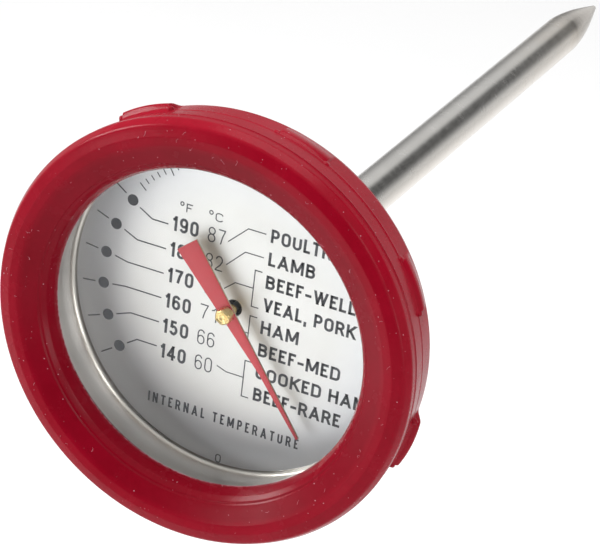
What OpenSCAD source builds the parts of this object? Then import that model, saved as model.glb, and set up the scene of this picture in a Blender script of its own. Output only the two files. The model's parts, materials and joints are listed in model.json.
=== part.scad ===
// Dial meat thermometer: a two-inch steel case in a silicone boot, on a pointed probe stem.
// The stem's axis is Y and its point is at +Y; the dial faces -Y, and its 12 o'clock is +Z.
// The origin is on the stem's axis, where the stem leaves the collar behind the case.
// Profiles are written as [radius, y] and turned about the Y axis.

/* [Stem] */
// Outer diameter of the probe stem
stem_d = 6.35; // [6:0.05:7]
// Wall thickness of the stem tube
stem_wall = 0.45; // [0.35:0.05:0.55]
// Straight length, from the collar to the shoulder of the point
stem_len = 116; // [100:1:150]
// Length of the ground point
point_len = 17; // [12:1:22]
// Length of the collar between the stem's shoulder and the case
collar_len = 2.4; // [2:0.1:4]
// Outer diameter of the collar
collar_d = 10.4; // [9:0.2:14]

/* [Case] */
// Outer diameter of the case around the dial
case_d = 51.1; // [50.6:0.1:51.4]
// Thickness of the case's sheet steel
sheet = 0.5; // [0.4:0.05:0.6]
// Depth from the case's floor to the shoulder that the dial sits on
seat_depth = 4; // [3.6:0.1:5]
// How far the case narrows behind that shoulder
seat_step = 1.35; // [1.2:0.05:1.5]
// Thickness of the lens
lens_t = 2; // [1.5:0.1:2.5]
// Thickness of the gasket behind the lens
gasket_t = 0.6; // [0.4:0.1:0.8]
// Height of the polished ring that holds the lens off the dial
spacer_h = 4.9; // [4.5:0.1:6]

/* [Boot] */
// Outer diameter of the silicone boot at its front corner
boot_d = 58.9; // [58.4:0.1:59.6]
// Diameter of the boot's opening over the lens
boot_opening_d = 44.4; // [43:0.1:45]
// How far the boot's front stands ahead of the lens
boot_rise = 3.9; // [3.5:0.1:4.5]
// Number of raised grip pads around the boot
pad_count = 8; // [6:1:10]
// Angle from three o'clock to the middle of the first pad
pad_start = 27; // [0:1:44]
// Angle that each pad spans
pad_span = 16; // [12:1:20]
// How far the pads stand out of the boot's side
pad_rise = 1.2; // [0.8:0.1:1.4]

/* [Dial and pointer] */
// Thickness of the dial plate
dial_t = 0.5; // [0.4:0.1:0.8]
// Diameter of the hole in the dial's middle
dial_hole_d = 2.4; // [2.4:0.1:3.2]
// Length of the pointer from the spindle to its thin tip
pointer_len = 19.1; // [16:0.1:20]
// Length of the pointer's broad tail
tail_len = 10.5; // [8:0.1:12]
// Width of the tail's end
tail_w = 3.4; // [3:0.1:4.5]
// Distance from the spindle to the waist, where the taper slows
waist_at = 8.9; // [6:0.1:12]
// Width of the pointer at its waist
waist_w = 0.95; // [0.6:0.05:1.5]
// Width of the thin tip
tip_w = 0.45; // [0.2:0.05:0.5]
// How far the thin end is bent aside
tip_bend = 0.45; // [0:0.05:0.6]
// Thickness of the pointer's sheet
pointer_t = 0.35; // [0.25:0.05:0.4]
// Height of the pointer's front face above the dial
pointer_h = 2.05; // [1.9:0.05:2.5]
// Direction of the tip at rest, counter-clockwise from three o'clock
pointer_angle = 310; // [240:1:359]

/* [Bimetal drive] */
// Diameter of the spindle that carries the pointer
spindle_d = 1; // [0.8:0.05:1.1]
// Outer diameter of the bimetal helix
coil_d = 4.4; // [4:0.1:4.8]
// Length of the bimetal helix
coil_len = 25; // [18:1:30]
// Turns of the bimetal helix
coil_turns = 9; // [6:1:10]
// Width of the bimetal strip along the stem
strip_w = 1.5; // [1:0.1:1.6]
// Thickness of the bimetal strip
strip_t = 0.25; // [0.2:0.05:0.4]

/* [Hidden] */

$fn = 96;
gap = 0.05;          // assembly clearance between neighbouring pieces
run = 0.06;          // running clearance of the spindle in its guides
corner_steps = 6;    // straight steps along each rounded corner

// stations along Y, from the collar forward to the front of the boot
back_y = -collar_len;
floor_y = back_y - sheet;
seat_y = floor_y - seat_depth;
dial_y = seat_y - dial_t;
spacer_y = dial_y - spacer_h;
gasket_y = spacer_y - gasket_t;
lens_y = gasket_y - lens_t;
boot_y = lens_y - boot_rise;

// radii of the case and of what it holds
case_r = case_d / 2;
bore_r = case_r - sheet;
rear_r = case_r - seat_step;
fill_r = bore_r - gap;
case_corner = 3.2;
flange_w = 0.75;
flange_r = case_r + flange_w;
opening_r = boot_opening_d / 2;

// the crimped rim that wraps the case's flange
rim_t = 0.45;
rim_lip_r = opening_r + 1.3;
rim_r = flange_r + gap + rim_t;
rim_front_y = lens_y - gap - rim_t;
rim_back_y = lens_y + sheet + 2 * gap + rim_t;

// the stem and its neck through the case
stem_r = stem_d / 2;
stem_bore_r = stem_r - stem_wall;
neck_r = stem_r - stem_wall / 2;
neck_bore_r = neck_r - stem_wall;
neck_step = 0.6;
washer_t = 0.5;
washer_r = 5.5;
flare_r = neck_r + 0.65;
flare_t = 0.4;
washer_y = floor_y - gap;
flare_y = washer_y - washer_t - gap;
collar_r = collar_d / 2;
collar_chamfer = 1;

// the spindle, its guides and the bimetal helix, counted back from the shoulder of the point
spindle_r = spindle_d / 2;
guide_bore_r = spindle_r + run;
guide_r = stem_bore_r - gap;
guide_len = 2.5;
spigot_len = 2.5;
anchor_len = 3;
hub_len = 2.5;
anchor_y = stem_len - spigot_len - gap - anchor_len;
coil_y = anchor_y - gap - coil_len;
coil_hub_y = coil_y - 2 * gap - hub_len;
lower_guide_y = coil_hub_y - 2 - guide_len;
middle_guide_y = lower_guide_y / 2;

// the pointer and its brass hub
pointer_y = dial_y - pointer_h;
hub_cap_r = 1.15;
hub_cap_t = 1.5;
hub_shank_r = 0.75;
hub_foot_r = 0.82;
hub_foot_len = 1.2;
hub_top_y = pointer_y - gap - hub_cap_t;
hub_foot_y = pointer_y + pointer_t + gap;
spindle_top_y = hub_top_y + 0.35;

// points of an arc in a profile
function arc(r, y, radius, from, to) =
    [for (i = [0 : corner_steps])
        let (a = from + (to - from) * i / corner_steps)
        [r + radius * cos(a), y + radius * sin(a)]];

// a profile of [radius, y] points, turned about the stem's axis
module turned(points) {
    rotate([-90, 0, 0])
        rotate_extrude()
            polygon(points);
}

// a straight tube or disc along Y
module tube_y(y, length, outer_r, inner_r) {
    translate([0, y, 0])
        rotate([-90, 0, 0])
            difference() {
                cylinder(h = length, r = outer_r);
                translate([0, 0, -1])
                    cylinder(h = length + 2, r = inner_r);
            }
}

// a flat sheet drawn as seen on the dial, with its front face at y - thickness
module dial_sheet(y, thickness) {
    translate([0, y, 0])
        rotate([90, 0, 0])
            linear_extrude(thickness)
                children();
}

/* Boot: a stretched silicone ring that grips the case and overhangs the lens */

boot_r = boot_d / 2;
boot_corner = 2;
lip_round = 1.5;
lip_r = opening_r + 0.45 + lip_round;
lip_y = boot_y + lip_round + 0.75;
boot_in_r = case_r + gap;
boot_rear_in_r = rear_r + gap;
boot_back_y = back_y + 1.4;
boot_back_r = 20;
side_back_r = boot_r - 1.15;
side_back_y = seat_y - 1.2;
skirt_r = boot_rear_in_r + 1.25;
skirt_round = 4.5;
parting_y = boot_y + 3.3;
parting_depth = 0.25;

function boot_side_r(y) =
    boot_r - (boot_r - side_back_r) * (y - boot_y - boot_corner) / (side_back_y - boot_y - boot_corner);

module boot_body() {
    turned(concat(
        [[opening_r, lens_y - gap]],
        arc(lip_r, lip_y, lip_round, 180, 270),
        arc(boot_r - boot_corner, boot_y + boot_corner, boot_corner, 270, 360),
        [[boot_side_r(parting_y - 0.25), parting_y - 0.25],
         [boot_side_r(parting_y) - parting_depth, parting_y],
         [boot_side_r(parting_y + 0.25) - 0.1, parting_y + 0.25],
         [side_back_r, side_back_y],
         [side_back_r - 0.5, side_back_y + 1],
         [side_back_r - 1.5, side_back_y + 1.7],
         [skirt_r + 0.25, seat_y + 0.8],
         [skirt_r, seat_y + 1.1]],
        arc(skirt_r - skirt_round, boot_back_y - skirt_round, skirt_round, 0, 90),
        [[boot_back_r, boot_back_y],
         [boot_back_r, back_y + gap]],
        arc(rear_r - case_corner, back_y - case_corner, case_corner + gap, 90, 0),
        [[boot_rear_in_r, seat_y + sheet + gap],
         [boot_in_r, seat_y + sheet + gap],
         [boot_in_r, rim_back_y + gap],
         [rim_r + gap, rim_back_y + gap],
         [rim_r + gap, rim_front_y - gap],
         [rim_lip_r - gap, rim_front_y - gap],
         [rim_lip_r - gap, lens_y - gap]]
    ));
}

pad_front_y = boot_y + 6.6;
pad_back_y = boot_y + 10.6;
pad_root_r = case_r + 1.5;

// each pad is a wedge: a steep wall in front, sloping down to the boot's side behind
module boot_pad(middle) {
    crest_r = boot_side_r(pad_front_y) + pad_rise;
    rotate([-90, 0, 0])
        rotate([0, 0, -middle - pad_span / 2])
            rotate_extrude(angle = pad_span)
                polygon([[pad_root_r, pad_front_y],
                         [crest_r - 0.4, pad_front_y],
                         [crest_r, pad_front_y + 0.4],
                         [crest_r - 0.1, pad_front_y + 1.1],
                         [side_back_r + 0.1, pad_back_y - 1],
                         [pad_root_r + 0.4, pad_back_y],
                         [pad_root_r, pad_back_y]]);
}

module silicone_boot() {
    color([0.62, 0.06, 0.13])
        union() {
            boot_body();
            for (i = [0 : pad_count - 1])
                boot_pad(pad_start + i * 360 / pad_count);
        }
}

/* Case: a deep-drawn cup with a shoulder for the dial and a flange for the rim */

module case_cup() {
    color([0.78, 0.78, 0.76])
        turned(concat(
            [[neck_r + gap, back_y]],
            arc(rear_r - case_corner, back_y - case_corner, case_corner, 90, 0),
            [[rear_r, seat_y + sheet],
             [case_r, seat_y + sheet],
             [case_r, lens_y + sheet],
             [flange_r, lens_y + sheet],
             [flange_r, lens_y],
             [bore_r, lens_y],
             [bore_r, seat_y],
             [rear_r - sheet, seat_y]],
            arc(rear_r - sheet - case_corner, floor_y - case_corner, case_corner, 0, 90),
            [[neck_r + gap, floor_y]]
        ));
}

module bezel_rim() {
    color([0.82, 0.82, 0.8])
        turned([[rim_lip_r, lens_y - gap],
                [flange_r + gap, lens_y - gap],
                [flange_r + gap, lens_y + sheet + 2 * gap],
                [case_r + 2 * gap, lens_y + sheet + 2 * gap],
                [case_r + 2 * gap, rim_back_y],
                [rim_r, rim_back_y],
                [rim_r, rim_front_y],
                [rim_lip_r, rim_front_y]]);
}

module lens() {
    color([0.9, 0.95, 0.95, 0.3])
        tube_solid(lens_y, lens_t, fill_r);
}

// a plain disc or rod along Y
module tube_solid(y, length, radius) {
    translate([0, y, 0])
        rotate([-90, 0, 0])
            cylinder(h = length, r = radius);
}

module lens_gasket() {
    color([0.15, 0.15, 0.15])
        tube_y(gasket_y, gasket_t, fill_r, fill_r - 0.8);
}

module spacer_ring() {
    foot_h = 1.2;
    foot_w = 0.5;
    wall_w = 0.35;
    color([0.85, 0.85, 0.83])
        turned([[fill_r - foot_w, dial_y],
                [fill_r, dial_y],
                [fill_r, spacer_y],
                [fill_r - wall_w, spacer_y],
                [fill_r - wall_w, dial_y - foot_h],
                [fill_r - foot_w + 0.03, dial_y - foot_h / 2]]);
}

/* Dial and pointer */

module dial_plate() {
    color([0.86, 0.87, 0.87])
        tube_y(dial_y, dial_t, fill_r, dial_hole_d / 2);
}

module pointer() {
    color([0.78, 0.12, 0.16])
        dial_sheet(pointer_y + pointer_t, pointer_t)
            rotate(pointer_angle)
                difference() {
                    polygon([[-tail_len, -tail_w / 2],
                             [waist_at, -waist_w / 2],
                             [pointer_len, -tip_bend - tip_w / 2],
                             [pointer_len, -tip_bend + tip_w / 2],
                             [waist_at, waist_w / 2],
                             [-tail_len, tail_w / 2]]);
                    circle(r = hub_shank_r + gap / 2);
                }
}

module pointer_hub() {
    rim = 0.25;
    dimple_r = 0.45;
    dimple_depth = 0.2;
    color([0.8, 0.62, 0.28])
        turned([[0, hub_top_y + dimple_depth],
                [dimple_r, hub_top_y],
                [hub_cap_r - rim, hub_top_y],
                [hub_cap_r, hub_top_y + rim],
                [hub_cap_r, pointer_y - gap],
                [hub_shank_r, pointer_y - gap],
                [hub_shank_r, hub_foot_y],
                [hub_foot_r, hub_foot_y],
                [hub_foot_r, hub_foot_y + hub_foot_len],
                [spindle_r + gap / 5, hub_foot_y + hub_foot_len],
                [spindle_r + gap / 5, spindle_top_y - gap / 5],
                [0, spindle_top_y - gap / 5]]);
}

module spindle() {
    color([0.55, 0.55, 0.55])
        tube_solid(spindle_top_y, coil_hub_y + hub_len - spindle_top_y, spindle_r);
}

/* Guides that centre the spindle in the stem */

module upper_guide() {
    flange_t = 0.45;
    plug_len = 3.4;
    top_y = flare_y - flare_t - gap - flange_t;
    color([0.2, 0.2, 0.2])
        turned([[guide_bore_r, top_y],
                [flare_r - 0.2, top_y],
                [flare_r - 0.2, top_y + flange_t],
                [neck_bore_r - gap, top_y + flange_t],
                [neck_bore_r - gap, top_y + flange_t + plug_len],
                [guide_bore_r, top_y + flange_t + plug_len]]);
}

module middle_guide() {
    color([0.85, 0.84, 0.8])
        tube_y(middle_guide_y, guide_len, guide_r, guide_bore_r);
}

module lower_guide() {
    color([0.85, 0.84, 0.8])
        tube_y(lower_guide_y, guide_len, guide_r, guide_bore_r);
}

/* Bimetal drive: one end of the helix is fixed by the anchor, the other turns the hub */

ring_steps = 24;
strip_mid_r = coil_d / 2 - strip_t / 2;

function strip_corners(turn_angle, y) =
    [for (corner = [[-1, -1], [1, -1], [1, 1], [-1, 1]])
        let (r = strip_mid_r + corner[0] * strip_t / 2)
        [r * cos(turn_angle), y + corner[1] * strip_w / 2, r * sin(turn_angle)]];

module bimetal_coil() {
    rings = coil_turns * ring_steps;
    first_y = coil_y + strip_w / 2;
    rise = (coil_len - strip_w) / rings;
    points = [for (k = [0 : rings]) each strip_corners(k * 360 / ring_steps, first_y + k * rise)];
    sides = [for (k = [0 : rings - 1], c = [0 : 3])
                let (n = (c + 1) % 4)
                [4 * k + c, 4 * k + n, 4 * k + 4 + n, 4 * k + 4 + c]];
    last = 4 * rings;
    color([0.72, 0.66, 0.52])
        polyhedron(points, concat([[3, 2, 1, 0]], sides, [[last, last + 1, last + 2, last + 3]]), 6);
}

module coil_hub() {
    color([0.6, 0.6, 0.6])
        tube_y(coil_hub_y, hub_len, coil_d / 2, spindle_r + gap / 5);
}

module coil_anchor() {
    boss_r = strip_mid_r - strip_t;
    boss_len = 2;
    color([0.6, 0.6, 0.6])
        turned([[0, anchor_y - boss_len],
                [boss_r, anchor_y - boss_len],
                [boss_r, anchor_y],
                [guide_r, anchor_y],
                [guide_r, anchor_y + anchor_len],
                [0, anchor_y + anchor_len]]);
}

/* Stem: a thin tube with a ground point, a neck through the case and a flared end */

module stem_tube() {
    color([0.8, 0.8, 0.79])
        turned([[neck_bore_r, flare_y - flare_t],
                [flare_r, flare_y - flare_t],
                [flare_r, flare_y],
                [neck_r, flare_y],
                [neck_r, 0],
                [stem_r, 0],
                [stem_r, stem_len],
                [stem_bore_r, stem_len],
                [stem_bore_r, neck_step],
                [neck_bore_r, neck_step]]);
}

module stem_tip() {
    seam = 0.01;
    color([0.8, 0.8, 0.79])
        turned([[0, stem_len - spigot_len],
                [guide_r, stem_len - spigot_len],
                [guide_r, stem_len + seam],
                [stem_r, stem_len + seam],
                [0.95 * stem_r, stem_len + 0.09 * point_len],
                [0.82 * stem_r, stem_len + 0.24 * point_len],
                [0.61 * stem_r, stem_len + 0.53 * point_len],
                [0.42 * stem_r, stem_len + 0.77 * point_len],
                [0.23 * stem_r, stem_len + 0.91 * point_len],
                [0.12 * stem_r, stem_len + 0.98 * point_len],
                [0, stem_len + point_len]]);
}

module stem_collar() {
    color([0.76, 0.76, 0.75])
        turned([[neck_r + gap, back_y + gap],
                [collar_r, back_y + gap],
                [collar_r, -collar_chamfer],
                [collar_r - collar_chamfer, -gap],
                [neck_r + gap, -gap]]);
}

module stem_washer() {
    color([0.76, 0.76, 0.75])
        tube_y(washer_y - washer_t, washer_t, washer_r, neck_r + gap);
}

silicone_boot();
case_cup();
bezel_rim();
lens();
lens_gasket();
spacer_ring();
dial_plate();
pointer();
pointer_hub();
spindle();
upper_guide();
middle_guide();
lower_guide();
bimetal_coil();
coil_hub();
coil_anchor();
stem_tube();
stem_tip();
stem_collar();
stem_washer();
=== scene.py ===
import json
import math
import random
import bmesh
import bpy
from mathutils import Matrix, Vector


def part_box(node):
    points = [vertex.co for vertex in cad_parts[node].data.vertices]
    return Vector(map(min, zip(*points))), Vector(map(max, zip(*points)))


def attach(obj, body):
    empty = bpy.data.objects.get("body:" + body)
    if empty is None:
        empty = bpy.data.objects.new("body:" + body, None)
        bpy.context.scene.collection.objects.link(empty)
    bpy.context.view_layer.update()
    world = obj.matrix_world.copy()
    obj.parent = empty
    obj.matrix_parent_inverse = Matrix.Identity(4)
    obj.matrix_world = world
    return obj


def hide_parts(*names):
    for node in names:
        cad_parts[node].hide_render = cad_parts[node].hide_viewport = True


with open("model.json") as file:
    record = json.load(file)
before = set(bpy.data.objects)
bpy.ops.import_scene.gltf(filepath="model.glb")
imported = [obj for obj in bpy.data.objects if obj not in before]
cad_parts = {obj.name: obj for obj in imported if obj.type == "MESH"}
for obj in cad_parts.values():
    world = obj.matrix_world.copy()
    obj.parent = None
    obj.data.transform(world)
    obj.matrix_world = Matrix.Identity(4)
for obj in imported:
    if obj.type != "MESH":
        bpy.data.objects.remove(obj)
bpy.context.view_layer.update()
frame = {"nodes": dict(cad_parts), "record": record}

scene = bpy.context.scene
random.seed(41)

# ---------------------------------------------------------------- sizes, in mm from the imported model
MM = 0.001


def mm_box(node):
    """Lowest and highest corner of a CAD node, in mm."""
    low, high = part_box(node)
    return low / MM, high / MM


dial_low, dial_high = mm_box("dial_plate")
lens_low, lens_high = mm_box("lens")
ring_low, ring_high = mm_box("spacer_ring")
boot_low, boot_high = mm_box("silicone_boot")
tube_low, tube_high = mm_box("stem_tube")
tip_low, tip_high = mm_box("stem_tip")
pointer_low, pointer_high = mm_box("pointer")
hub_low, hub_high = mm_box("pointer_hub")
collar_low, collar_high = mm_box("stem_collar")
rim_low, rim_high = mm_box("bezel_rim")

dial_y = dial_low.y
lens_y = lens_low.y
lens_back_y = lens_high.y
boot_y = boot_low.y
stem_r = tip_high.x
stem_end_y = tube_high.y
point_y = tip_high.y
pointer_y = pointer_low.y
collar_r = collar_high.x


# ---------------------------------------------------------------- node helpers
class Nodes:
    """A material's node tree, with short ways to add and join nodes."""

    def __init__(self, name):
        self.material = bpy.data.materials.new(name)
        self.material.use_nodes = True
        self.tree = self.material.node_tree
        self.tree.nodes.clear()
        self.out = self.tree.nodes.new("ShaderNodeOutputMaterial")
        self.place = self.tree.nodes.new("ShaderNodeTexCoord").outputs["Object"]

    def add(self, kind, **sockets):
        node = self.tree.nodes.new(kind)
        for key, value in sockets.items():
            self.put(node.inputs[key.replace("_", " ")], value)
        return node

    def put(self, socket, value):
        if isinstance(value, bpy.types.NodeSocket):
            self.tree.links.new(value, socket)
        else:
            socket.default_value = value

    def math(self, operation, a, b=0.0, c=0.0, clamp=False):
        node = self.tree.nodes.new("ShaderNodeMath")
        node.operation = operation
        node.use_clamp = clamp
        for socket, value in zip(node.inputs, (a, b, c)):
            self.put(socket, value)
        return node.outputs[0]

    def scaled(self, size):
        """Object coordinates in units of `size` mm (one number, or one for each axis)."""
        sizes = size if isinstance(size, tuple) else (size, size, size)
        node = self.tree.nodes.new("ShaderNodeMapping")
        self.put(node.inputs["Vector"], self.place)
        node.inputs["Scale"].default_value = [1 / (s * MM) for s in sizes]
        return node.outputs[0]

    def noise(self, size, detail=3.0, roughness=0.55):
        """Noise from 0 to 1 with features of about `size` mm."""
        node = self.tree.nodes.new("ShaderNodeTexNoise")
        self.put(node.inputs["Vector"], self.scaled(size))
        node.inputs["Scale"].default_value = 1.0
        node.inputs["Detail"].default_value = detail
        node.inputs["Roughness"].default_value = roughness
        return node.outputs[0]

    def ramp(self, value, low, high, from_value=0.0, to_value=1.0):
        """`value` from low..high taken to from_value..to_value, and held at the ends."""
        node = self.tree.nodes.new("ShaderNodeMapRange")
        self.put(node.inputs["Value"], value)
        node.inputs["From Min"].default_value = low
        node.inputs["From Max"].default_value = high
        node.inputs["To Min"].default_value = from_value
        node.inputs["To Max"].default_value = to_value
        return node.outputs[0]

    def mix(self, factor, a, b):
        node = self.tree.nodes.new("ShaderNodeMix")
        node.data_type = "RGBA"
        self.put(node.inputs[0], factor)
        self.put(node.inputs[6], a)
        self.put(node.inputs[7], b)
        return node.outputs[2]

    def axes(self):
        node = self.tree.nodes.new("ShaderNodeSeparateXYZ")
        self.put(node.inputs[0], self.place)
        return node.outputs

    def radius(self):
        """Distance from the stem's axis, in mm."""
        x, _, z = self.axes()
        total = self.math("ADD", self.math("MULTIPLY", x, x), self.math("MULTIPLY", z, z))
        return self.math("DIVIDE", self.math("SQRT", total), MM)

    def bump(self, height, depth, normal=None):
        """A bump of `depth` mm where height goes from 0 to 1."""
        node = self.tree.nodes.new("ShaderNodeBump")
        node.inputs["Strength"].default_value = 1.0
        node.inputs["Distance"].default_value = depth * MM
        self.put(node.inputs["Height"], height)
        if normal is not None:
            self.put(node.inputs["Normal"], normal)
        return node.outputs[0]

    def surface(self, color, roughness, metallic=0.0, normal=None, **constants):
        node = self.tree.nodes.new("ShaderNodeBsdfPrincipled")
        self.put(node.inputs["Base Color"], color)
        self.put(node.inputs["Roughness"], roughness)
        node.inputs["Metallic"].default_value = metallic
        for key, value in constants.items():
            node.inputs[key.replace("_", " ")].default_value = value
        if normal is not None:
            self.put(node.inputs["Normal"], normal)
        self.tree.links.new(node.outputs[0], self.out.inputs[0])
        return node


def rgb(red, green, blue):
    return (red, green, blue, 1.0)


# ---------------------------------------------------------------- materials
def silicone_material():
    n = Nodes("red_silicone")
    cloud = n.noise(9.0, 3.0)
    fine = n.noise(0.9, 4.0)
    tone = n.math("ADD", n.math("MULTIPLY", cloud, 0.7), n.math("MULTIPLY", fine, 0.3))
    body = n.mix(n.ramp(tone, 0.3, 0.7), rgb(0.195, 0.0012, 0.0085), rgb(0.245, 0.002, 0.0125))
    cells = n.add("ShaderNodeTexVoronoi", Scale=1.0)
    n.put(cells.inputs["Vector"], n.scaled(0.66))
    pick = n.tree.nodes.new("ShaderNodeSeparateColor")
    n.put(pick.inputs[0], cells.outputs["Color"])
    reach = n.ramp(pick.outputs[0], 0.55, 1.0, 0.02, 0.15)
    speck = n.math("MULTIPLY", n.math("SUBTRACT", reach, cells.outputs["Distance"]), 30.0, clamp=True)
    strength = n.math("MULTIPLY", speck, n.ramp(pick.outputs[1], 0.0, 1.0, 0.08, 0.75))
    radius = n.radius()
    _, y, _ = n.axes()
    station = n.math("DIVIDE", y, MM)
    # Painted highlight: a broken pale line on the boot's inner edge where it meets the lens
    behind_front = n.ramp(station, lens_y - 0.3, lens_y - 0.1)
    before_back = n.ramp(station, lens_y + 0.1, lens_y + 0.4, 1.0, 0.0)
    near_lens = n.math("MULTIPLY", behind_front, before_back)
    inner = n.math("MULTIPLY", n.ramp(radius, 22.4, 22.6, 1.0, 0.0), near_lens)
    painted_lip_highlight = n.math("MULTIPLY", inner, n.ramp(n.noise(0.5, 4.0), 0.40, 0.62))
    # Pale specks, and the painted highlight at the lens edge
    specks_and_lip_highlight = n.math("MAXIMUM", strength, n.math("MULTIPLY", painted_lip_highlight, 0.55))
    # The face grows darker inward of R 26.7, most from R 25.5 in
    darker_inward = n.ramp(radius, 25.5, 26.7, 0.22, 0.0)
    body = n.mix(darker_inward, body, rgb(0.0, 0.0, 0.0))
    color = n.mix(specks_and_lip_highlight, body, rgb(0.62, 0.36, 0.42))
    along = n.math("ADD", radius, n.math("DIVIDE", y, MM))
    lines = n.math("SINE", n.math("MULTIPLY", along, 13.0))
    lines = n.math("MULTIPLY", n.ramp(lines, 0.55, 1.0), n.ramp(n.noise(5.0, 2.0), 0.45, 0.75))
    normal = n.bump(lines, 0.005)
    normal = n.bump(n.noise(0.35, 3.0, 0.65), 0.007, normal)
    normal = n.bump(speck, 0.03, normal)
    rough = n.ramp(n.noise(2.2, 4.0), 0.25, 0.75, 0.21, 0.30)
    n.surface(color, rough, 0.0, normal, IOR=1.41, Specular_IOR_Level=0.11)
    return n.material


def steel_material(name, color, rough, grain, depth, tint=None):
    """Satin steel with fine marks turned round the stem's axis."""
    n = Nodes(name)
    turned = n.noise((14.0, grain, 14.0), 3.0, 0.6)
    blotch = n.noise(6.0, 3.0)
    dark = tuple(c * 0.93 for c in color)
    base = n.mix(n.ramp(blotch, 0.3, 0.7), rgb(*dark), rgb(*color))
    if tint is not None:
        base = tint(n, base)
    roughness = n.ramp(n.noise((2.0, grain * 2, 2.0), 4.0), 0.2, 0.8, rough * 0.8, rough * 1.25)
    n.surface(base, roughness, 1.0, n.bump(turned, depth))
    return n.material


def stem_tint(n, base):
    """Painted warm shade low on the right side, and faint heat colour towards the shoulder of the point."""
    x, y, z = n.axes()
    station = n.math("DIVIDE", y, MM)
    # Painted warm shade: the stem's low right side turned darker and warmer
    beside = n.math("SUBTRACT", n.math("MULTIPLY", x, 0.79), n.math("MULTIPLY", z, 0.61))
    low = n.ramp(n.math("DIVIDE", beside, stem_r * MM), 0.25, 0.9, 0.0, 0.85)
    base = n.mix(low, base, rgb(0.68, 0.63, 0.57))
    near = n.math("MULTIPLY", n.ramp(station, 85.0, 116.0), n.ramp(n.noise(9.0, 3.0), 0.35, 0.65, 0.2, 1.0))
    base = n.mix(n.math("MULTIPLY", near, 0.4), base, rgb(0.60, 0.51, 0.40))
    return n.mix(n.ramp(station, 113.0, 119.0, 0.0, 0.75), base, rgb(0.40, 0.365, 0.325))


def dial_material():
    n = Nodes("dial_aluminium")
    brushed = n.noise((0.10, 1.0, 7.0), 4.0, 0.6)
    cloud = n.noise(7.0, 3.0)
    base = n.mix(n.ramp(cloud, 0.3, 0.7), rgb(0.77, 0.763, 0.747), rgb(0.815, 0.808, 0.792))
    # Painted reflection: the dial's colour lighter and bluer from R 14 out to R 21.5
    base = n.mix(n.ramp(n.radius(), 14.0, 21.5, 0.0, 0.8), base, rgb(0.815, 0.825, 0.865))
    rough = n.ramp(brushed, 0.2, 0.8, 0.47, 0.55)
    n.surface(base, rough, 1.0, n.bump(brushed, 0.0012))
    return n.material


def ring_material():
    n = Nodes("polished_steel")
    turned = n.noise((60.0, 0.16, 60.0), 3.0, 0.6)
    base = n.mix(turned, rgb(0.43, 0.405, 0.37), rgb(0.49, 0.465, 0.43))
    n.surface(base, n.ramp(turned, 0.3, 0.7, 0.27, 0.34), 1.0, n.bump(turned, 0.0006))
    return n.material


def paint_material():
    """Red paint with a slight metal sheen on the pointer's face; its edges and back are bare sheet brass."""
    n = Nodes("pointer_paint")
    cloud = n.noise(1.6, 4.0)
    red = n.mix(n.ramp(cloud, 0.3, 0.7), rgb(0.50, 0.044, 0.056), rgb(0.57, 0.056, 0.070))
    bare = n.mix(n.ramp(cloud, 0.3, 0.7), rgb(0.62, 0.50, 0.34), rgb(0.70, 0.58, 0.42))
    _, y, _ = n.axes()
    behind = n.ramp(y, (pointer_y + 0.06) * MM, (pointer_y + 0.1) * MM)
    color = n.mix(behind, red, bare)
    rough = n.ramp(cloud, 0.3, 0.7, 0.40, 0.52)
    shader = n.surface(color, rough, 0.0, n.bump(n.noise(0.25, 3.0), 0.003), IOR=1.5)
    n.put(shader.inputs["Metallic"], n.ramp(behind, 0.0, 1.0, 0.2, 1.0))
    return n.material


def brass_material():
    n = Nodes("hub_brass")
    cloud = n.noise(0.6, 4.0)
    color = n.mix(n.ramp(cloud, 0.3, 0.75), rgb(0.76, 0.55, 0.22), rgb(0.88, 0.69, 0.34))
    n.surface(color, n.ramp(cloud, 0.3, 0.7, 0.24, 0.36), 1.0, n.bump(n.noise(0.3, 3.0), 0.006))
    return n.material


def ink_material():
    n = Nodes("dial_ink")
    cloud = n.noise(0.4, 4.0)
    color = n.mix(n.ramp(cloud, 0.3, 0.7), rgb(0.066, 0.069, 0.080), rgb(0.090, 0.094, 0.107))
    n.surface(color, n.ramp(cloud, 0.3, 0.7, 0.5, 0.65), 0.0, n.bump(n.noise(0.1, 2.0), 0.001), IOR=1.45)
    return n.material


def plastic_material(name, dark, light, rough):
    n = Nodes(name)
    cloud = n.noise(1.4, 4.0)
    color = n.mix(n.ramp(cloud, 0.3, 0.7), rgb(*dark), rgb(*light))
    n.surface(color, n.ramp(cloud, 0.3, 0.7, rough, rough + 0.12), 0.0, n.bump(n.noise(0.3, 3.0), 0.004))
    return n.material


def bimetal_material():
    n = Nodes("bimetal_strip")
    streak = n.noise((1.5, 0.12, 1.5), 4.0)
    color = n.mix(n.ramp(streak, 0.3, 0.7), rgb(0.48, 0.42, 0.33), rgb(0.66, 0.60, 0.50))
    n.surface(color, n.ramp(streak, 0.3, 0.7, 0.28, 0.42), 1.0, n.bump(streak, 0.002))
    return n.material


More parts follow.
